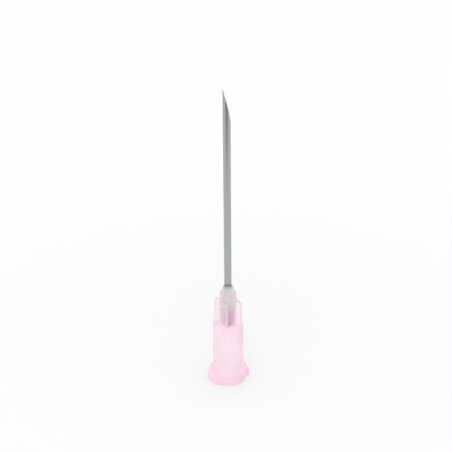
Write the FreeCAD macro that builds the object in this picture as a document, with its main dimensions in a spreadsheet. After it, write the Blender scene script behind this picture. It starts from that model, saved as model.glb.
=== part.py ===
# Hypodermic needle, 18 gauge by 38 mm, with a luer lock hub, modelled standing on the mouth of its hub.
# Millimetres and degrees, +Z up. The origin is the centre of the hub's mouth, on the axis of the needle,
# and the hub's two locking lugs lie along X.
import FreeCAD, Part
import math
import os
import Sketcher
from FreeCAD import Placement, Rotation, Vector

doc = FreeCAD.newDocument("hypodermic_needle")
sheet = doc.addObject("Spreadsheet::Sheet", "Sizes")

# Driving sizes: name, value, meaning.
DRIVING = [
    ("cannula_diameter", "1.27", "outside of the steel tube, 18 gauge"),
    ("lumen_diameter", "0.93", "inside of the steel tube, thin wall"),
    ("cannula_reach", "36.8", "from the hub's top to the point"),
    ("bevel_length", "5.2", "from the point to the heel of the first grind"),
    ("bevel_angle", "12.6", "first grind, to the axis"),
    ("lancet_angle", "20.0", "the two side grinds, to the axis"),
    ("lancet_turn", "30.0", "how far the tube is turned for each side grind"),
    ("bevel_azimuth", "-26.0", "the way that the bevel faces, from the lugs' axis"),
    ("blast_depth", "0.01", "taken off the lower end by blasting, so that the resin grips"),
    ("blast_margin", "0.6", "from the top of that rough end to the top of the resin"),
    ("rim_diameter", "7.83", "across the lugs"),
    ("rim_edge_break", "0.12", "broken edge under the rim"),
    ("rim_thickness", "0.9", "upright outer face of the lugs"),
    ("lug_crest_diameter", "7.14", "where the lugs' steep backs meet the skirt's slope"),
    ("lug_crest_rise", "1.2", "height of those steep backs"),
    ("lug_spread", "56.0", "arc that one lug covers"),
    ("root_diameter", "6.7", "base between the lugs"),
    ("flare_diameter", "5.84", "where the skirt's slope meets its hollow curve"),
    ("flare_rise", "0.75", "height of the skirt's slope"),
    ("skirt_rise", "0.65", "height of the skirt's hollow curve"),
    ("skirt_bend", "0.97", "radius of the skirt's hollow curve"),
    ("barrel_foot_diameter", "5.36", "barrel between the ribs, at the skirt"),
    ("barrel_top_diameter", "5.1", "barrel between the ribs, at the shoulder"),
    ("barrel_rise", "8.25", "skirt to shoulder"),
    ("shoulder_bend", "0.35", "rounding of the shoulder's edge"),
    ("rib_diameter", "5.65", "across the ribs on the barrel"),
    ("rib_sink", "0.2", "how far the ribs' feet reach down into the flare"),
    ("rib_rise", "0.68", "shoulder to the step from the ribs to the fins"),
    ("step_break", "0.15", "broken edge of that step"),
    ("neck_rise", "4.7", "shoulder to the tops of the fins"),
    ("nose_rise", "1.5", "tops of the fins to the rim of the nose, the hub's top"),
    ("fin_diameter", "4.92", "across the fins on the neck"),
    ("fin_thickness", "0.8", "fins and ribs"),
    ("fin_corner", "0.5", "rounding of the fins' top corners"),
    ("fin_turn", "45.0", "first fin, from the lugs' axis"),
    ("core_diameter", "2.5", "tube at the middle of the neck"),
    ("cup_diameter", "3.12", "cup that holds the resin, at its widest"),
    ("cup_sink", "0.75", "tops of the fins down to that widest ring"),
    ("cup_flare", "1.2", "height over which the tube widens into the cup"),
    ("nose_diameter", "2.88", "rim of the nose, which the cup narrows to"),
    ("socket_diameter", "4.3", "luer socket at its mouth"),
    ("socket_taper", "0.06", "loss of diameter for each millimetre of depth"),
    ("socket_depth", "9.0", "mouth to the end of the cone"),
    ("socket_edge_break", "0.12", "broken edge of the socket's mouth"),
    ("socket_roof", "0.9", "height of the funnel above the cone"),
    ("passage_diameter", "0.9", "hole from the funnel to the steel tube"),
    ("passage_length", "1.1", "funnel to the ledge that the steel tube stands on"),
    ("bore_clearance", "0.02", "between the steel tube and its bore, all round"),
    ("well_depth", "3.65", "hub's top to the floor of the resin's well"),
    ("well_floor_diameter", "1.7", "well at its floor"),
    ("well_mouth_diameter", "2.3", "well at the hub's top"),
    ("bead_foot_diameter", "2.82", "bead where it lies on the rim of the nose"),
    ("bead_bend", "5.0", "radius of the bead's bulging side"),
    ("bead_neck_diameter", "1.6", "bead where its side turns up along the tube"),
    ("bead_neck_height", "1.25", "height of that turn above the hub's top"),
    ("bead_film_rise", "0.3", "how far the film climbs the tube above that turn"),
    ("bead_film_bend", "0.4", "radius of that hollow film"),
]

# Worked out from the driving sizes: radii, heights on the axis and the corners of the gaps between the lugs.
WORKED_OUT = [
    ("crest_height", "=rim_thickness + lug_crest_rise"),
    ("flare_height", "=crest_height + flare_rise"),
    ("skirt_height", "=flare_height + skirt_rise"),
    ("shoulder_height", "=skirt_height + barrel_rise"),
    ("step_height", "=shoulder_height + rib_rise"),
    ("fin_top_height", "=shoulder_height + neck_rise"),
    ("hub_height", "=fin_top_height + nose_rise"),
    ("rib_foot_height", "=flare_height - rib_sink"),
    ("cup_height", "=fin_top_height - cup_sink"),
    ("cup_foot_height", "=cup_height - cup_flare"),
    ("socket_roof_height", "=socket_depth + socket_roof"),
    ("seat_height", "=socket_roof_height + passage_length"),
    ("well_floor_height", "=hub_height - well_depth"),
    ("bead_turn_height", "=hub_height + bead_neck_height"),
    ("bead_top_height", "=bead_turn_height + bead_film_rise"),
    ("blast_height", "=bead_top_height - blast_margin"),
    ("cannula_radius", "=cannula_diameter / 2"),
    ("blast_radius", "=cannula_radius - blast_depth"),
    ("lumen_radius", "=lumen_diameter / 2"),
    ("point_height", "=hub_height + cannula_reach"),
    ("cannula_length", "=point_height - seat_height"),
    ("heel_height", "=point_height - bevel_length"),
    ("grind_overrun", "=cannula_diameter"),
    ("grind_side", "=cannula_radius + grind_overrun"),
    ("bevel_low", "=heel_height - grind_overrun / tan(bevel_angle)"),
    ("bevel_high", "=bevel_low + 2 * grind_side / tan(bevel_angle)"),
    ("lancet_low", "=point_height - (grind_side + cannula_radius * cos(lancet_turn)) / tan(lancet_angle)"),
    ("lancet_high", "=lancet_low + 2 * grind_side / tan(lancet_angle)"),
    ("rim_radius", "=rim_diameter / 2"),
    ("rim_foot_radius", "=rim_radius - rim_edge_break"),
    ("root_radius", "=root_diameter / 2"),
    ("crest_radius", "=lug_crest_diameter / 2"),
    ("flare_radius", "=flare_diameter / 2"),
    ("barrel_foot_radius", "=barrel_foot_diameter / 2"),
    ("barrel_top_radius", "=barrel_top_diameter / 2"),
    ("shoulder_flat_radius", "=barrel_top_radius - shoulder_bend"),
    ("shoulder_side_height", "=shoulder_height - shoulder_bend"),
    ("rib_radius", "=rib_diameter / 2"),
    ("rib_step_radius", "=rib_radius - step_break"),
    ("rib_side_height", "=step_height - step_break"),
    ("fin_radius", "=fin_diameter / 2"),
    ("fin_flat_radius", "=fin_radius - fin_corner"),
    ("fin_side_height", "=fin_top_height - fin_corner"),
    ("core_radius", "=core_diameter / 2"),
    ("cup_radius", "=cup_diameter / 2"),
    ("nose_radius", "=nose_diameter / 2"),
    ("gap_angle", "=lug_spread / 2"),
    ("clear_radius", "=rim_radius + rim_thickness"),
    ("gap_inner_x", "=root_radius * cos(gap_angle)"),
    ("gap_inner_y", "=root_radius * sin(gap_angle)"),
    ("gap_outer_x", "=clear_radius * cos(gap_angle)"),
    ("gap_outer_y", "=clear_radius * sin(gap_angle)"),
    ("socket_radius", "=socket_diameter / 2"),
    ("socket_mouth_radius", "=socket_radius + socket_edge_break"),
    ("socket_break_radius", "=socket_radius - socket_edge_break * socket_taper / 2"),
    ("socket_end_radius", "=socket_radius - socket_depth * socket_taper / 2"),
    ("passage_radius", "=passage_diameter / 2"),
    ("bore_radius", "=cannula_radius + bore_clearance"),
    ("well_floor_radius", "=well_floor_diameter / 2"),
    ("well_mouth_radius", "=well_mouth_diameter / 2"),
    ("bead_foot_radius", "=bead_foot_diameter / 2"),
    ("bead_neck_radius", "=bead_neck_diameter / 2"),
]

FIN_COUNT = 4
LUG_COUNT = 2

row = 0
for name, text, meaning in DRIVING:
    row += 1
    sheet.set(f"A{row}", meaning)
    sheet.set(f"B{row}", text)
    sheet.setAlias(f"B{row}", name)
for name, text in WORKED_OUT:
    row += 1
    sheet.set(f"B{row}", text)
    sheet.setAlias(f"B{row}", name)
doc.recompute()


def value(name):
    """The number in a named cell, or 0 where a corner lies on the axis or on the ground."""
    if name is None:
        return 0.0
    if name.startswith("-"):
        return -value(name[1:])
    return float(sheet.get(name))


def bind(item, prop, name):
    """Ties a property or a constraint to a named cell."""
    sign = "-" if name.startswith("-") else ""
    item.setExpression(prop, f"{sign}Sizes.{name.lstrip('-')}")


def new_body(label):
    body = doc.addObject("PartDesign::Body", label)
    body.Label = label
    return body


def new_sketch(body, name, plane, turn=None):
    """A sketch on one of the body's own origin planes, turned about Z by the angle in a named cell."""
    sketch = body.newObject("Sketcher::SketchObject", name)
    support = [item for item in body.Origin.OriginFeatures if item.Role == plane][0]
    sketch.AttachmentSupport = (support, [""])
    sketch.MapMode = "FlatFace"
    if turn is not None:
        sketch.AttachmentOffset = Placement(Vector(), Rotation(Vector(0, 1, 0), value(turn)))
        bind(sketch, "AttachmentOffset.Rotation.Angle", turn)
    return sketch


def arc_between(start, end, radius, side):
    """A circular arc; side +1 runs counterclockwise from start to end, and -1 clockwise."""
    chord = end - start
    middle = (start + end) * 0.5
    left = Vector(-chord.y, chord.x, 0).normalize()
    rise = math.sqrt(max(radius**2 - (chord.Length / 2) ** 2, 0.0))
    centre = middle + left * (rise * side)
    first, last = (start, end) if side > 0 else (end, start)
    angles = [math.atan2(p.y - centre.y, p.x - centre.x) for p in (first, last)]
    if angles[1] < angles[0]:
        angles[1] += 2 * math.pi
    return Part.ArcOfCircle(Part.Circle(centre, Vector(0, 0, 1), radius), *angles)


def outline(sketch, corners, arcs=None):
    """A closed outline through corners named by their two cells.

    arcs maps an edge, counted from the corner where it starts, to the cell of its radius and its side.
    """
    arcs = arcs or {}
    points = [Vector(value(x), value(y), 0) for x, y in corners]
    count = len(points)
    ends = []
    for i in range(count):
        start, end = points[i], points[(i + 1) % count]
        if i in arcs:
            radius, side = arcs[i]
            sketch.addGeometry(arc_between(start, end, value(radius), side))
            ends.append((1, 2) if side > 0 else (2, 1))
        else:
            sketch.addGeometry(Part.LineSegment(start, end))
            ends.append((1, 2))
    for i in range(count):
        after = (i + 1) % count
        sketch.addConstraint(Sketcher.Constraint("Coincident", i, ends[i][1], after, ends[after][0]))
    for i, (x, y) in enumerate(corners):
        place_corner(sketch, i, ends[i][0], "DistanceX", x, -2)
        place_corner(sketch, i, ends[i][0], "DistanceY", y, -1)
    for i, (radius, _) in arcs.items():
        number = sketch.addConstraint(Sketcher.Constraint("Radius", i, value(radius)))
        sketch.renameConstraint(number, f"radius_{i}")
        bind(sketch, f"Constraints.radius_{i}", radius)


def place_corner(sketch, edge, end, kind, name, axis):
    """Holds one corner on an axis, or at the distance that a cell gives."""
    if name is None:
        sketch.addConstraint(Sketcher.Constraint("PointOnObject", edge, end, axis))
        return
    number = sketch.addConstraint(Sketcher.Constraint(kind, -1, 1, edge, end, value(name)))
    sketch.renameConstraint(number, f"{kind}_{edge}")
    bind(sketch, f"Constraints.{kind}_{edge}", name)


def circle(sketch, radius):
    """A circle about the origin."""
    edge = sketch.addGeometry(Part.Circle(Vector(), Vector(0, 0, 1), value(radius)))
    sketch.addConstraint(Sketcher.Constraint("Coincident", edge, 3, -1, 1))
    number = sketch.addConstraint(Sketcher.Constraint("Radius", edge, value(radius)))
    sketch.renameConstraint(number, radius)
    bind(sketch, f"Constraints.{radius}", radius)


def turned(body, kind, name, sketch):
    """A full turn of a sketch about Z, added (Revolution) or cut (Groove)."""
    feature = body.newObject(f"PartDesign::{kind}", name)
    feature.Profile = sketch
    feature.ReferenceAxis = (sketch, ["V_Axis"])
    feature.Angle = 360
    return feature


def cut_through(body, name, sketch):
    """A pocket that runs right through the body, both ways from the sketch."""
    pocket = body.newObject("PartDesign::Pocket", name)
    pocket.Profile = sketch
    pocket.Type = "ThroughAll"
    pocket.Midplane = True
    return pocket


def about_z(body, name, feature, sketch_axis, copies):
    """Copies of a feature, evenly spaced about Z, which is the named axis of the feature's own sketch."""
    pattern = body.newObject("PartDesign::PolarPattern", name)
    pattern.Originals = [feature]
    pattern.Axis = (feature.Profile[0], [sketch_axis])
    pattern.Angle = 360
    pattern.Occurrences = copies
    body.Tip = pattern
    return pattern


# Cannula: drawn stainless tube, cut square and blasted rough below, and ground three times above to a lancet
# point.
cannula = new_body("cannula")
section = new_sketch(cannula, "tube_section", "XY_Plane")
circle(section, "cannula_radius")
circle(section, "lumen_radius")
section.AttachmentOffset = Placement(Vector(0, 0, value("seat_height")), Rotation())
bind(section, "AttachmentOffset.Base.z", "seat_height")
tube = cannula.newObject("PartDesign::Pad", "tube")
tube.Profile = section
bind(tube, "Length", "cannula_length")

blasting = new_sketch(cannula, "blasted_end_profile", "XZ_Plane")
outline(
    blasting,
    [
        ("blast_radius", "seat_height"),
        ("grind_side", "seat_height"),
        ("grind_side", "blast_height"),
        ("blast_radius", "blast_height"),
    ],
)
turned(cannula, "Groove", "blasted_end", blasting)

first_grind = new_sketch(cannula, "first_grind", "XZ_Plane")
outline(
    first_grind,
    [("grind_side", "bevel_low"), ("grind_side", "bevel_high"), ("-grind_side", "bevel_high")],
)
cut_through(cannula, "bevel", first_grind)

side_grind = new_sketch(cannula, "side_grind", "XZ_Plane", turn="lancet_turn")
outline(
    side_grind,
    [("grind_side", "lancet_low"), ("grind_side", "lancet_high"), ("-grind_side", "lancet_high")],
)
lancet = cut_through(cannula, "lancet_facet", side_grind)
facets = cannula.newObject("PartDesign::Mirrored", "lancet_facets")
facets.Originals = [lancet]
facets.MirrorPlane = (first_grind, [""])
cannula.Tip = facets
cannula.Placement = Placement(Vector(), Rotation(Vector(0, 0, 1), value("bevel_azimuth")))
bind(cannula, "Placement.Rotation.Angle", "bevel_azimuth")

# Hub: one moulding. The flared skirt carries the lugs, the barrel holds the luer socket, and four ribs run
# up the barrel, step in at its shoulder and go on as the fins that brace the core tube and its cup. The cup
# stands above the fins as a short nose.
hub = new_body("hub")
skin = new_sketch(hub, "skin_profile", "XZ_Plane")
outline(
    skin,
    [
        (None, None),
        ("rim_foot_radius", None),
        ("rim_radius", "rim_edge_break"),
        ("rim_radius", "rim_thickness"),
        ("crest_radius", "crest_height"),
        ("flare_radius", "flare_height"),
        ("barrel_foot_radius", "skirt_height"),
        ("barrel_top_radius", "shoulder_side_height"),
        ("shoulder_flat_radius", "shoulder_height"),
        ("core_radius", "shoulder_height"),
        ("core_radius", "cup_foot_height"),
        ("cup_radius", "cup_height"),
        ("nose_radius", "hub_height"),
        (None, "hub_height"),
    ],
    arcs={5: ("skirt_bend", -1), 7: ("shoulder_bend", 1)},
)
turned(hub, "Revolution", "skin", skin)

fin_profile = new_sketch(hub, "fin_profile", "XZ_Plane", turn="fin_turn")
outline(
    fin_profile,
    [
        (None, "rib_foot_height"),
        ("rib_radius", "rib_foot_height"),
        ("rib_radius", "rib_side_height"),
        ("rib_step_radius", "step_height"),
        ("fin_radius", "step_height"),
        ("fin_radius", "fin_side_height"),
        ("fin_flat_radius", "fin_top_height"),
        (None, "fin_top_height"),
    ],
    arcs={5: ("fin_corner", 1)},
)
fin = hub.newObject("PartDesign::Pad", "fin")
fin.Profile = fin_profile
fin.Midplane = True
bind(fin, "Length", "fin_thickness")
about_z(hub, "fins", fin, "V_Axis", FIN_COUNT)

gap_profile = new_sketch(hub, "lug_gap_profile", "XY_Plane")
outline(
    gap_profile,
    [
        ("gap_inner_x", "gap_inner_y"),
        ("gap_outer_x", "gap_outer_y"),
        ("-gap_outer_x", "gap_outer_y"),
        ("-gap_inner_x", "gap_inner_y"),
    ],
    arcs={1: ("clear_radius", 1), 3: ("root_radius", -1)},
)
gap = hub.newObject("PartDesign::Pocket", "lug_gap")
gap.Profile = gap_profile
gap.Reversed = True
bind(gap, "Length", "flare_height")
about_z(hub, "lug_gaps", gap, "N_Axis", LUG_COUNT)

cavity = new_sketch(hub, "cavity_profile", "XZ_Plane")
outline(
    cavity,
    [
        (None, None),
        ("socket_mouth_radius", None),
        ("socket_break_radius", "socket_edge_break"),
        ("socket_end_radius", "socket_depth"),
        ("passage_radius", "socket_roof_height"),
        ("passage_radius", "seat_height"),
        ("bore_radius", "seat_height"),
        ("bore_radius", "well_floor_height"),
        ("well_floor_radius", "well_floor_height"),
        ("well_mouth_radius", "hub_height"),
        (None, "hub_height"),
    ],
)
turned(hub, "Groove", "cavity", cavity)

# Adhesive bead: clear cured resin that fills the well round the tube and stands on the nose as a cone that
# swells a little.
adhesive_bead = new_body("adhesive_bead")
bead = new_sketch(adhesive_bead, "bead_profile", "XZ_Plane")
outline(
    bead,
    [
        ("blast_radius", "well_floor_height"),
        ("well_floor_radius", "well_floor_height"),
        ("well_mouth_radius", "hub_height"),
        ("bead_foot_radius", "hub_height"),
        ("bead_neck_radius", "bead_turn_height"),
        ("cannula_radius", "bead_top_height"),
        ("cannula_radius", "blast_height"),
        ("blast_radius", "blast_height"),
    ],
    arcs={3: ("bead_bend", 1), 4: ("bead_film_bend", -1)},
)
turned(adhesive_bead, "Revolution", "bead", bead)

doc.recompute()

SUB_PARTS = [hub, cannula, adhesive_bead]
failed = [item.Name for item in doc.Objects if "Invalid" in item.State or "Error" in item.State]
if failed:
    raise RuntimeError("features that did not build: " + ", ".join(failed))

os.makedirs("parts", exist_ok=True)
for body in SUB_PARTS:
    shape = body.Shape
    if shape.isNull() or not shape.isValid() or len(shape.Solids) != 1:
        raise RuntimeError(f"{body.Label} is not one sound solid")
    shape.exportStep(f"parts/{body.Label}.step")
    box = shape.BoundBox
    print(f"{body.Label}: {shape.Volume:.3f} mm3, {box.XLength:.2f} x {box.YLength:.2f} x {box.ZLength:.2f}")
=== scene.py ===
import math

import bmesh
import bpy
import numpy as np
from mathutils import Matrix, Vector


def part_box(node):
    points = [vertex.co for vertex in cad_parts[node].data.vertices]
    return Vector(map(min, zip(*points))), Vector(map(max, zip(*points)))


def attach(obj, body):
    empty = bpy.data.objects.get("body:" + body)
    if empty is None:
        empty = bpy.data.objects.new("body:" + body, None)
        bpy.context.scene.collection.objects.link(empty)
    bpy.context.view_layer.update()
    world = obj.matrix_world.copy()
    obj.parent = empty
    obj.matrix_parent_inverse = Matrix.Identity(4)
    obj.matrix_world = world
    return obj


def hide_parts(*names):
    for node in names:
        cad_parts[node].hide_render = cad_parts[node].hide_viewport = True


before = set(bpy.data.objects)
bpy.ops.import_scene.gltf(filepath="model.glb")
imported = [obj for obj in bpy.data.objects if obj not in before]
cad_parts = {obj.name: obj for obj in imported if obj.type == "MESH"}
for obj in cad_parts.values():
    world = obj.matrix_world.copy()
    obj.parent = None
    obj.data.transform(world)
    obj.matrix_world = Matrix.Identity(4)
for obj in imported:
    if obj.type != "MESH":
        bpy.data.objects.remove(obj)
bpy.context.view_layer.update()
MM = 0.001

# Hub: one injection moulding of pink polypropylene, seen through a little. A flared skirt carries the two
# luer lock lugs, the barrel holds the cone that a syringe plugs into, and four ribs run up the barrel and on
# as the fins of the neck. Every edge is rounded a little, as the mould leaves it.
HUB_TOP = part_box("hub")[1].z / MM
RIM_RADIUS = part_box("hub")[1].x / MM
ROOT_RADIUS = 3.43
RIM_THICKNESS = 0.9
CREST_RADIUS, CREST_HEIGHT = 3.6, 1.6
FLARE_RADIUS, FLARE_HEIGHT = 2.95, 2.3
LUG_SPREAD = math.radians(56)
SKIRT_HEIGHT, SKIRT_BEND = 3.2, 1.6
BARREL_FOOT_RADIUS, BARREL_TOP_RADIUS, BARREL_TOP = 2.68, 2.55, 11.75
RIB_FOOT_RADIUS, RIB_RADIUS, RIB_TOP = 2.86, 2.79, 12.43
FIN_RADIUS, FIN_THICKNESS, FIN_CORNER, FIN_TOP = 2.46, 0.8, 0.5, 16.45
CORE_RADIUS = 1.25
CUP_RADIUS, CUP_HEIGHT, CUP_FLARE = 1.56, 15.7, 1.2
NOSE_RADIUS = 1.44
SOCKET_RADIUS, SOCKET_END_RADIUS, SOCKET_DEPTH = 2.15, 1.88, 9.0
PASSAGE_RADIUS, PASSAGE_FOOT = 0.45, 9.9
BORE_RADIUS, SEAT_HEIGHT = 0.655, 11.0
WELL_FLOOR_RADIUS, WELL_FLOOR, WELL_RADIUS = 0.85, 14.3, 1.15
BEAD_FOOT_RADIUS = 1.41
MOULDED_EDGE, MOULDED_HOLLOW, LUG_EDGE = 0.1, 0.12, 0.25
RIM_CUT, CREST_CUT, SHOULDER_CUT, STEP_CUT, CUP_CUT, NOSE_CUT = 0.15, 0.2, 0.35, 0.2, 0.3, 0.06
SOCKET_CUT, SOCKET_END_CUT, PASSAGE_CUT = 0.12, 0.2, 0.15
CORE_FADE, NOSE_FADE_FOOT = (1.2, 1.9), 14.5
PALE_PINK, DEEP_PINK, NECK_WHITE = (0.998, 0.945, 0.97), (0.992, 0.74, 0.855), (1.0, 0.98, 0.988)


def eased(corners, steps=4):
    """A path through corners, each cut back by its own length and rounded off with an arc."""
    path = []
    for i, (cut, *corner) in enumerate(corners):
        here = np.array(corner, float)
        if cut == 0:
            path.append(here)
            continue
        before = np.array(corners[i - 1][1:], float) - here
        after = np.array(corners[(i + 1) % len(corners)][1:], float) - here
        start = here + before / np.linalg.norm(before) * cut
        end = here + after / np.linalg.norm(after) * cut
        half_turn = np.dot(before, after) / np.linalg.norm(before) / np.linalg.norm(after)
        weight = math.sqrt(max(0.0, (1 - half_turn) / 2))
        for t in np.linspace(0, 1, steps + 1):
            shares = np.array([(1 - t) ** 2, 2 * t * (1 - t) * weight, t**2])
            path.append(shares @ np.array([start, here, end]) / shares.sum())
    return path


def arc_points(start, end, radius, count):
    """Points strictly between two corners of a profile, on an arc that bends towards the axis."""
    start, end = np.array(start, float), np.array(end, float)
    chord = end - start
    left = np.array([-chord[1], chord[0]]) / np.linalg.norm(chord)
    centre = (start + end) / 2 - left * math.sqrt(radius**2 - (chord @ chord) / 4)
    first, last = (math.atan2(*(p - centre)[::-1]) for p in (start, end))
    sweep = (last - first + math.pi) % (2 * math.pi) - math.pi
    turns = np.linspace(first, first + sweep, count + 2)[1:-1]
    return [centre + radius * np.array([math.cos(a), math.sin(a)]) for a in turns]


def ring_radii(row, angles):
    """Radius of the hub's section at each angle, found by halving: a round body, four fins and two lugs,
    joined by fillets."""
    _, body, fin, lug = row
    low, high = np.zeros_like(angles), np.full_like(angles, RIM_RADIUS + 1)
    from_fin = (angles % (math.pi / 2)) - math.pi / 4
    from_lug = np.abs((angles + math.pi / 2) % math.pi - math.pi / 2)

    def corner(across, along, edge):
        """Distance from two faces of a fin or lug that meet at a rounded edge."""
        across, along = across + edge, along + edge
        inside = np.minimum(np.maximum(across, along), 0)
        return inside + np.hypot(np.maximum(across, 0), np.maximum(along, 0)) - edge

    def joined(one, other):
        """Distance from two forms that run together over a fillet."""
        near = np.hypot(np.maximum(MOULDED_HOLLOW - one, 0), np.maximum(MOULDED_HOLLOW - other, 0))
        return np.maximum(MOULDED_HOLLOW, np.minimum(one, other)) - near

    for _ in range(40):
        radius = (low + high) / 2
        away = radius - body
        if fin > 0:
            across = np.abs(radius * np.sin(from_fin)) - FIN_THICKNESS / 2
            away = joined(away, corner(across, radius * np.cos(from_fin) - fin, MOULDED_EDGE))
        if lug > 0:
            away = joined(away, corner(radius * np.sin(from_lug - LUG_SPREAD / 2), radius - lug, LUG_EDGE))
        low, high = np.where(away < 0, radius, low), np.where(away < 0, high, radius)
    return (low + high) / 2


def ring_mesh(name, radii, heights, angles):
    """A closed skin through rings that follow one another up the outside and back down the inside."""
    rings, around = len(radii), len(angles)
    turn = np.array([np.cos(angles), np.sin(angles)])
    points = [(*(turn * r).T[k], z) for r, z in zip(radii, heights) for k in range(around)]
    faces = []
    for i in range(rings):
        up = (i + 1) % rings
        for k in range(around):
            side = (k + 1) % around
            faces.append((i * around + k, i * around + side, up * around + side, up * around + k))
    mesh = bpy.data.meshes.new(name)
    mesh.from_pydata([Vector(p) * MM for p in points], [], faces)
    mesh.shade_smooth()
    piece = bpy.data.objects.new(name, mesh)
    bpy.context.scene.collection.objects.link(piece)
    return piece


def mark_glued(piece, test):
    """Marks the faces that lie against another piece with resin between them, where no light is bent."""
    glued = piece.data.attributes.new("glued", "FLOAT", "FACE")
    for face in piece.data.polygons:
        centre = face.center / MM
        glued.data[face.index].value = float(test(math.hypot(centre.x, centre.y), centre.z))


# The height where the skirt's slope is as wide as the base, and the cup's radius at the tops of the fins.
root_end = CREST_HEIGHT + (CREST_RADIUS - ROOT_RADIUS) / (CREST_RADIUS - FLARE_RADIUS) * (
    FLARE_HEIGHT - CREST_HEIGHT)
cup_at_fins = CUP_RADIUS - (CUP_RADIUS - NOSE_RADIUS) * (FIN_TOP - CUP_HEIGHT) / (HUB_TOP - CUP_HEIGHT)
# Each corner of the hub's profile: its cut, its height, and the radii of its body, its fins and its lugs.
skin = [
    (RIM_CUT, 0, ROOT_RADIUS, RIB_FOOT_RADIUS, RIM_RADIUS),
    (CREST_CUT, RIM_THICKNESS, ROOT_RADIUS, RIB_FOOT_RADIUS, RIM_RADIUS),
    (CREST_CUT, CREST_HEIGHT, ROOT_RADIUS, RIB_FOOT_RADIUS, CREST_RADIUS),
    (MOULDED_EDGE, root_end, ROOT_RADIUS, RIB_FOOT_RADIUS, ROOT_RADIUS),
    (MOULDED_EDGE, FLARE_HEIGHT, FLARE_RADIUS, RIB_FOOT_RADIUS, FLARE_RADIUS),
]
for radius, height in arc_points(
    (FLARE_RADIUS, FLARE_HEIGHT), (BARREL_FOOT_RADIUS, SKIRT_HEIGHT), SKIRT_BEND, 8
):
    skin.append((0, height, radius, RIB_FOOT_RADIUS, 0))
skin += [
    (0, SKIRT_HEIGHT, BARREL_FOOT_RADIUS, RIB_FOOT_RADIUS, 0),
    (SHOULDER_CUT, BARREL_TOP, BARREL_TOP_RADIUS, RIB_RADIUS, 0),
    (MOULDED_HOLLOW, BARREL_TOP, CORE_RADIUS, RIB_RADIUS, 0),
    (STEP_CUT, RIB_TOP, CORE_RADIUS, RIB_RADIUS, 0),
    (MOULDED_EDGE, RIB_TOP, CORE_RADIUS, FIN_RADIUS, 0),
    (CUP_CUT, CUP_HEIGHT - CUP_FLARE, CORE_RADIUS, FIN_RADIUS, 0),
    (CUP_CUT, CUP_HEIGHT, CUP_RADIUS, FIN_RADIUS, 0),
    (FIN_CORNER, FIN_TOP, cup_at_fins, FIN_RADIUS, 0),
    (MOULDED_EDGE, FIN_TOP, cup_at_fins, CORE_RADIUS, 0),
    (NOSE_CUT, HUB_TOP, NOSE_RADIUS, CORE_RADIUS, 0),
    (0, HUB_TOP, BEAD_FOOT_RADIUS, 0, 0),
    (0, HUB_TOP, WELL_RADIUS, 0, 0),
    (0, WELL_FLOOR, WELL_FLOOR_RADIUS, 0, 0),
    (0, WELL_FLOOR, BORE_RADIUS, 0, 0),
    (0, SEAT_HEIGHT, BORE_RADIUS, 0, 0),
    (0, SEAT_HEIGHT, PASSAGE_RADIUS, 0, 0),
    (PASSAGE_CUT, PASSAGE_FOOT, PASSAGE_RADIUS, 0, 0),
    (SOCKET_END_CUT, SOCKET_DEPTH, SOCKET_END_RADIUS, 0, 0),
    (SOCKET_CUT, 0, SOCKET_RADIUS, 0, 0),
]
rows = eased(skin)

# Columns of points round an eighth of the hub, in degrees, closest where the lugs end and the fins start.
eighth = np.radians(
    np.concatenate([np.arange(0, 21, 3), np.arange(21, 39.1, 0.6), np.arange(41, 49.1, 2)])
)
quarter = np.concatenate([eighth, math.pi / 2 - eighth[eighth < math.pi / 4 - 1e-6][::-1]])[:-1]
hub_angles = np.unique(np.round(np.concatenate([quarter + math.pi / 2 * k for k in range(4)]), 6))

hub = ring_mesh("hub_moulding", [ring_radii(row, hub_angles) for row in rows], [row[0] for row in rows],
                hub_angles)


def well_radius(height):
    """Radius of the hub's inner wall where the steel tube and the resin fill it."""
    rise = max(0.0, (height - WELL_FLOOR) / (HUB_TOP - WELL_FLOOR))
    return BORE_RADIUS if rise == 0 else WELL_FLOOR_RADIUS + (WELL_RADIUS - WELL_FLOOR_RADIUS) * rise


def in_well(radius, height):
    on_rim = height > HUB_TOP - 0.01 and radius < BEAD_FOOT_RADIUS
    return on_rim or (height > SEAT_HEIGHT - 0.01 and radius < well_radius(height) + 0.1)


mark_glued(hub, in_well)


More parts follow.
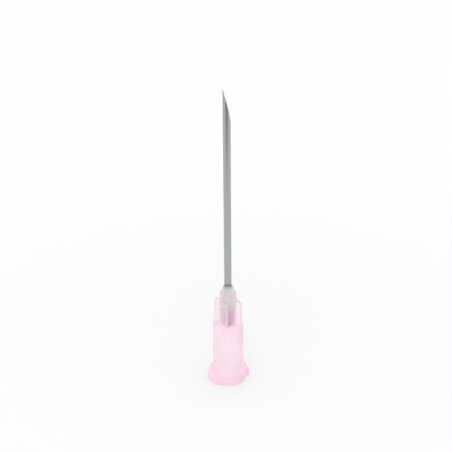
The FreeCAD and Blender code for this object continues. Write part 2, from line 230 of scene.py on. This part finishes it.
class Wire:
    """One output of a shader node. Sums, differences and products of wires add Math nodes."""

    def __init__(self, tree, socket=None):
        self.tree, self.socket = tree, socket

    def node(self, kind, settings=None, inputs=None, output=0):
        """Adds a node: its settings first, then the values or wires of its sockets. Gives one output."""
        new = self.tree.nodes.new("ShaderNode" + kind)
        for name, setting in (settings or {}).items():
            setattr(new, name, setting)
        for name, given in (inputs or {}).items():
            if isinstance(given, Wire):
                self.tree.links.new(given.socket, new.inputs[name])
            else:
                new.inputs[name].default_value = given
        return Wire(self.tree, new.outputs[output]) if new.outputs else None

    def maths(self, operation, first, second):
        return self.node("Math", {"operation": operation}, {0: first, 1: second})

    def __add__(self, other):
        return self.maths("ADD", self, other)

    def __radd__(self, other):
        return self.maths("ADD", other, self)

    def __rsub__(self, other):
        return self.maths("SUBTRACT", other, self)

    def __mul__(self, other):
        return self.maths("MULTIPLY", self, other)

    def blend(self, low, high):
        """A colour between two others, by this wire."""
        return self.node("Mix", {"data_type": "RGBA"}, {0: self, 6: (*low, 1), 7: (*high, 1)}, 2)

    def stretched(self, scale):
        """A vector wire, multiplied by a scale for each axis."""
        return self.node("VectorMath", {"operation": "MULTIPLY"}, {0: self, 1: scale})

    def fade(self, start, end, low=0.0, high=1.0):
        """A smooth step by this wire as a length: low up to start, in millimetres, and high from end."""
        return self.node("MapRange", {"interpolation_type": "SMOOTHSTEP"}, {
            "Value": self, "From Min": start * MM, "From Max": end * MM, "To Min": low, "To Max": high})

    def noise(self, scale, detail=3.0, roughness=0.5):
        """Noise from 0 to 1 about this vector wire."""
        return self.node("TexNoise", {}, {"Vector": self, "Scale": scale, "Detail": detail,
                                          "Roughness": roughness})

    def bump(self, height_mm, strength=1.0):
        """A bumped normal from this wire as a height from 0 to 1."""
        return self.node("Bump", {}, {"Strength": strength, "Distance": height_mm * MM, "Height": self})


def new_finish(name):
    """A material with an empty tree, and a wire to start from."""
    material = bpy.data.materials.new(name)
    material.use_nodes = True
    material.node_tree.nodes.clear()
    return material, Wire(material.node_tree)


def let_lamps_through(start, surface, tint):
    """The surface, but clear to lamp rays, so that what it covers gets a pale tinted light."""
    lamp_ray = start.node("LightPath", output="Is Shadow Ray")
    clear = start.node("BsdfTransparent", {}, {"Color": (*tint, 1)})
    return start.node("MixShader", {}, {0: lamp_ray, 1: surface, 2: clear})


def hub_plastic():
    """Pale pink polypropylene: a little milky, satin, with the flow of the melt as faint clouds."""
    material, start = new_finish("pink_polypropylene")
    place = start.node("TexCoord", output="Object")
    height = start.node("SeparateXYZ", {}, {0: place}, "Z")
    from_axis = start.node("VectorMath", {"operation": "LENGTH"}, {0: place.stretched((1, 1, 0))}, "Value")
    clouds = place.noise(350.0, 4.0, 0.6)
    grain = place.noise(9000.0, 2.0)
    glued = start.node("Attribute", {"attribute_name": "glued"}, output="Fac")

    core = from_axis.fade(*CORE_FADE, 1.0, 0.0)
    nose = height.fade(NOSE_FADE_FOOT, CUP_HEIGHT, 1.0, 0.34)
    # Deeper pink at the foot of the skirt: partly the thick plastic there, partly painted shade.
    flange_depth_and_shade = height.fade(CREST_HEIGHT, SKIRT_HEIGHT, 0.4, 0.0)
    fin_edge = from_axis.fade(FIN_RADIUS - 0.14, FIN_RADIUS - 0.04, 0.0, 0.42)
    in_neck = height.fade(BARREL_TOP + 0.1, RIB_TOP)
    barrel = (core * 0.9 + flange_depth_and_shade + clouds * 0.15).blend(PALE_PINK, DEEP_PINK)
    neck = (core * nose * 0.92 + fin_edge + clouds * 0.1).blend(NECK_WHITE, DEEP_PINK)

    def moulded(colour, index, clear, coat):
        """The plastic itself, by its colour, how strongly it bends light and how much of it passes."""
        return start.node("BsdfPrincipled", {}, {
            "Base Color": colour,
            "Roughness": 0.3 + clouds * 0.12,
            "IOR": index,
            "Transmission Weight": clear,
            "Coat Weight": coat,
            "Coat Roughness": 0.3,
            "Alpha": 1 - glued,
            "Normal": grain.bump(0.002, 0.6),
        })

    surface = start.node("MixShader", {}, {
        0: in_neck, 1: moulded(barrel, 1.10, 0.6, 0.5), 2: moulded(neck, 1.35, 0.54, 0.0)})
    body = start.node("VolumeAbsorption", {}, {"Color": (1.0, 0.64, 0.84, 1), "Density": 120.0})
    start.node("OutputMaterial", {}, {
        "Surface": let_lamps_through(start, surface, (0.98, 0.86, 0.915)), "Volume": body})
    return material


hub.data.materials.append(hub_plastic())
hub.data.set_sharp_from_angle(angle=math.radians(40))
hub.modifiers.new("flat_faces_stay_flat", "WEIGHTED_NORMAL").keep_sharp = True
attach(hub, "root")
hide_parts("hub")

# Cannula: a drawn tube of stainless steel, cut square below and pushed into the hub. Its lower end is blasted
# so that the resin grips, and its upper end is ground three times to a lancet point.
TUBE_RADIUS, LUMEN_RADIUS = 0.635, 0.465
POINT_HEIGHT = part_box("cannula")[1].z / MM
BLAST_TOP, BLAST_DEPTH = 19.9, 0.01
HEEL_HEIGHT = POINT_HEIGHT - 5.2
BEVEL_ANGLE, LANCET_ANGLE = math.radians(12.6), math.radians(20)
LANCET_TURN, BEVEL_TURN = math.radians(30), math.radians(-26)
TUBE_COLUMNS = 144
GROUND, BLASTED = 1, 2


def turned(name, profile, columns):
    """A closed round skin, turned from a profile of radii and heights."""
    angles = np.linspace(0, 2 * math.pi, columns, endpoint=False)
    return ring_mesh(name, [np.full_like(angles, r) for r, _ in profile], [z for _, z in profile], angles)


tube = turned("needle_tube", [
    (LUMEN_RADIUS, SEAT_HEIGHT),
    (TUBE_RADIUS - BLAST_DEPTH, SEAT_HEIGHT),
    (TUBE_RADIUS - BLAST_DEPTH, BLAST_TOP),
    (TUBE_RADIUS, BLAST_TOP),
    (TUBE_RADIUS, POINT_HEIGHT + 1),
    (LUMEN_RADIUS, POINT_HEIGHT + 1),
], TUBE_COLUMNS)


def grinding_block(through, angle, turn):
    """A block whose lower face is the plane of one grind: it passes a point (x, height) of the tube."""
    half = 10.0
    mesh = bpy.data.meshes.new("grinding_block")
    form = bmesh.new()
    bmesh.ops.create_cube(form, size=2 * half * MM)
    normal = Vector((math.cos(angle), 0, math.sin(angle)))
    middle = Vector((through[0], 0, through[1])) + normal * half
    lean = Matrix.Rotation(math.pi / 2 - angle, 4, "Y")
    form.transform(Matrix.Rotation(turn, 4, "Z") @ Matrix.Translation(middle * MM) @ lean)
    form.to_mesh(mesh)
    form.free()
    block = bpy.data.objects.new("grinding_block", mesh)
    bpy.context.scene.collection.objects.link(block)
    return block


lancet_plane = (-TUBE_RADIUS * math.cos(LANCET_TURN), POINT_HEIGHT)
blocks = [grinding_block((TUBE_RADIUS, HEEL_HEIGHT), BEVEL_ANGLE, BEVEL_TURN)]
for side in (-1, 1):
    blocks.append(grinding_block(lancet_plane, LANCET_ANGLE, BEVEL_TURN + side * LANCET_TURN))
for block in blocks:
    grind = tube.modifiers.new("grind", "BOOLEAN")
    grind.operation, grind.solver, grind.object = "DIFFERENCE", "EXACT", block
ground = bpy.data.meshes.new_from_object(tube.evaluated_get(bpy.context.evaluated_depsgraph_get()))
tube.modifiers.clear()
tube.data = ground
for block in blocks:
    bpy.data.objects.remove(block)
ground.shade_smooth()
ground.set_sharp_from_angle(angle=math.radians(8))


def steel_finish(name, colour, polish, line_scale, line_height):
    """Stainless steel, with the lines that drawing or grinding leaves on it."""
    material, start = new_finish(name)
    place = start.node("TexCoord", output="Object")
    lines = place.stretched(line_scale).noise(1.0, 4.0, 0.65)
    patches = place.stretched((900, 900, 160)).noise(1.0, 3.0)
    surface = start.node("BsdfPrincipled", {}, {
        "Base Color": (lines * 0.5 + patches * 0.5).blend(
            tuple(c * 0.94 for c in colour), tuple(c * 1.06 for c in colour)),
        "Metallic": 1.0,
        "Roughness": polish - 0.06 + (lines + patches) * 0.06,
        "Specular Tint": (0.75, 0.75, 0.75, 1),
        "Normal": lines.bump(line_height, 0.5),
    })
    start.node("OutputMaterial", {}, {"Surface": surface})
    return material


ground.materials.append(steel_finish("drawn_steel", (0.425, 0.442, 0.428), 0.28, (30000, 30000, 250), 0.0008))
ground.materials.append(steel_finish("ground_steel", (0.37, 0.375, 0.37), 0.34, (4000, 4000, 26000), 0.0015))
ground.materials.append(steel_finish("blasted_steel", (0.33, 0.31, 0.32), 0.5, (20000, 20000, 20000), 0.004))
for face in ground.polygons:
    middle = face.center / MM
    if middle.z > HEEL_HEIGHT - 0.01 and face.normal.z > 0.1:
        face.material_index = GROUND
    elif middle.z < BLAST_TOP:
        face.material_index = BLASTED
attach(tube, "root")
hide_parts("cannula")

# Adhesive bead: clear resin, dropped on the nose round the tube and cured under lamps. It fills the well,
# stands on the nose's rim as a cone that swells a little, and ends in a thin film that crept up the steel.
BEAD_BEND, BEAD_NECK_RADIUS, BEAD_NECK_HEIGHT = 7.0, 0.67, HUB_TOP + 1.57
BEAD_TOP, FILM_BEND = BEAD_NECK_HEIGHT + 0.32, 0.4
BEAD_COLUMNS = 96
WELL_CLEARNESS = 0.6

bead_rings = [
    (TUBE_RADIUS - BLAST_DEPTH, WELL_FLOOR),
    (WELL_FLOOR_RADIUS, WELL_FLOOR),
    (WELL_RADIUS, HUB_TOP),
    (BEAD_FOOT_RADIUS, HUB_TOP),
]
bulge_end = (BEAD_NECK_RADIUS, BEAD_NECK_HEIGHT)
bead_rings += [tuple(p) for p in arc_points(bulge_end, (BEAD_FOOT_RADIUS, HUB_TOP), BEAD_BEND, 24)][::-1]
bead_rings.append(bulge_end)
bead_rings += [tuple(p) for p in arc_points(bulge_end, (TUBE_RADIUS, BEAD_TOP), FILM_BEND, 8)]
bead_rings += [(TUBE_RADIUS, BEAD_TOP), (TUBE_RADIUS, BLAST_TOP), (TUBE_RADIUS - BLAST_DEPTH, BLAST_TOP)]
bead = turned("resin_bead", bead_rings, BEAD_COLUMNS)
mark_glued(bead, lambda radius, height: 1.0 if radius < TUBE_RADIUS + 0.001 else (
    WELL_CLEARNESS if height < HUB_TOP + 0.001 else 0.0))


def clear_resin():
    """Cured acrylate resin, clear with a slight grey haze, cloudier where thick, with painted pink light low
    down.
    """
    material, start = new_finish("cured_resin")
    place = start.node("TexCoord", output="Object")
    height = start.node("SeparateXYZ", {}, {0: place}, "Z")
    haze = place.noise(900.0, 3.0, 0.55)
    glued = start.node("Attribute", {"attribute_name": "glued"}, output="Fac")
    clear = start.node("BsdfPrincipled", {}, {
        "Base Color": haze.blend((0.90, 0.895, 0.90), (0.95, 0.945, 0.95)),
        "Roughness": 0.14 + haze * 0.1,
        "IOR": 1.25,
        "Transmission Weight": 0.9,
        "Alpha": 1 - glued,
        "Normal": haze.bump(0.01, 0.3),
    })
    # Painted light: the cloudy resin turns pink towards the nose's rim, for the light the pink hub throws on
    # it.
    low = height.fade(HUB_TOP, HUB_TOP + 0.9, 1.0, 0.0)
    cloud_with_painted_pink = start.node("BsdfPrincipled", {}, {
        "Base Color": (low * 0.8 + haze * 0.2).blend((0.87, 0.855, 0.86), (0.90, 0.80, 0.845)),
        "Roughness": 0.3 + haze * 0.1,
        "IOR": 1.4,
        "Alpha": 1 - glued,
    })
    thick = height.fade(BEAD_NECK_HEIGHT - 0.6, BEAD_NECK_HEIGHT + 0.1, 0.55, 0.14)
    surface = start.node("MixShader", {}, {0: thick + glued, 1: clear, 2: cloud_with_painted_pink})
    body = start.node("VolumeAbsorption", {}, {"Color": (0.6, 0.6, 0.6, 1), "Density": 60.0})
    start.node("OutputMaterial", {}, {
        "Surface": let_lamps_through(start, surface, (0.9, 0.9, 0.9)), "Volume": body})
    return material


bead.data.materials.append(clear_resin())
bead.data.set_sharp_from_angle(angle=math.radians(30))
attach(bead, "root")
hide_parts("adhesive_bead")

# Floor and light: a white card under the object that runs out into white, an even white room, and one soft
# lamp above. The floor keeps the object's faint shadow.
FLOOR_RADIUS, FLOOR_DROP = 400.0, 0.02
CARD_WHITE, CARD_FADE = (0.80, 0.815, 0.805, 1), (5, 110)
ROOM_WHITE, AMBIENT = 0.99, 1.0
LAMP_SIZE, LAMP_WATTS, LAMP_PLACE = 250.0, 0.45, Vector((-120, -180, 380))

floor_mesh = bpy.data.meshes.new("floor")
form = bmesh.new()
bmesh.ops.create_circle(form, cap_ends=True, segments=96, radius=FLOOR_RADIUS * MM,
                        matrix=Matrix.Translation((0, 0, -FLOOR_DROP * MM)))
form.to_mesh(floor_mesh)
form.free()
floor = bpy.data.objects.new("floor", floor_mesh)
bpy.context.scene.collection.objects.link(floor)
card, start = new_finish("white_card")
place = start.node("TexCoord", output="Object")
reach = place.node("VectorMath", {"operation": "LENGTH"}, {0: place}, "Value")
away = reach.fade(*CARD_FADE, 0.25, 1.0)
paper = start.node("BsdfDiffuse", {}, {"Color": CARD_WHITE})
glow = start.node("Emission", {}, {"Color": (ROOM_WHITE, ROOM_WHITE, ROOM_WHITE, 1)})
start.node("OutputMaterial", {}, {"Surface": start.node("MixShader", {}, {0: away, 1: paper, 2: glow})})
floor_mesh.materials.append(card)

world = bpy.data.worlds.new("white_room")
bpy.context.scene.world = world
world.use_nodes = True
world.node_tree.nodes.clear()
start = Wire(world.node_tree)
seen = start.node("LightPath", output="Is Camera Ray")
seen = seen + start.node("LightPath", output="Is Glossy Ray")
seen = seen + start.node("LightPath", output="Is Transmission Ray")
level = start.node("MapRange", {}, {"Value": seen, "To Min": AMBIENT, "To Max": ROOM_WHITE})
room = start.node("Background", {}, {"Color": (1, 1, 1, 1), "Strength": level})
start.node("OutputWorld", {}, {"Surface": room})

lamp_data = bpy.data.lights.new("soft_lamp", "AREA")
lamp_data.shape, lamp_data.size, lamp_data.energy = "DISK", LAMP_SIZE * MM, LAMP_WATTS
lamp = bpy.data.objects.new("soft_lamp", lamp_data)
bpy.context.scene.collection.objects.link(lamp)
lamp.location = LAMP_PLACE * MM
lamp.rotation_euler = (-LAMP_PLACE).to_track_quat("-Z", "Y").to_euler()

# Camera: it looks down at the needle as the photograph does, from a hand's breadth away. A grey card stands
# behind it, which only the steel mirrors, as the dark line down its middle.
PHOTO_SIZE = 452
FOCAL_PIXELS = 719.1
CAMERA_REACH, CAMERA_HEIGHT = 111.2, 83.08
VIEW_TURN = math.radians(-26)
PITCH, YAW, ROLL = math.radians(25.087), math.radians(0.128), math.radians(-0.485)
SHADE_REACH, SHADE_WIDTH, SHADE_HEIGHT, SHADE_GREY = 140.0, 250.0, 300.0, (0.18, 0.18, 0.18, 1)

camera_data = bpy.data.cameras.new("camera")
camera_data.sensor_width = 36.0
camera_data.lens = camera_data.sensor_width * FOCAL_PIXELS / PHOTO_SIZE
camera_data.clip_start, camera_data.clip_end = 0.002, 20.0
camera = bpy.data.objects.new("camera", camera_data)
bpy.context.scene.collection.objects.link(camera)
camera.matrix_world = (
    Matrix.Translation(Vector((math.sin(VIEW_TURN) * CAMERA_REACH, -math.cos(VIEW_TURN) * CAMERA_REACH,
                               CAMERA_HEIGHT)) * MM)
    @ Matrix.Rotation(VIEW_TURN + YAW, 4, "Z")
    @ Matrix.Rotation(math.pi / 2 - PITCH, 4, "X")
    @ Matrix.Rotation(ROLL, 4, "Z")
)
bpy.context.scene.camera = camera

shade_mesh = bpy.data.meshes.new("grey_card")
half, top = SHADE_WIDTH / 2 * MM, SHADE_HEIGHT * MM
shade_mesh.from_pydata([(-half, 0, 0), (half, 0, 0), (half, 0, top), (-half, 0, top)], [], [(0, 1, 2, 3)])
shade = bpy.data.objects.new("grey_card", shade_mesh)
bpy.context.scene.collection.objects.link(shade)
shade.location = Vector((math.sin(VIEW_TURN), -math.cos(VIEW_TURN), 0)) * SHADE_REACH * MM
shade.rotation_euler = (0, 0, VIEW_TURN)
grey, start = new_finish("grey_card")
start.node("OutputMaterial", {}, {"Surface": start.node("Emission", {}, {"Color": SHADE_GREY})})
shade_mesh.materials.append(grey)
shade.visible_camera = shade.visible_diffuse = shade.visible_transmission = False
shade.visible_shadow = shade.visible_volume_scatter = False

bpy.context.scene.view_settings.view_transform = "Standard"
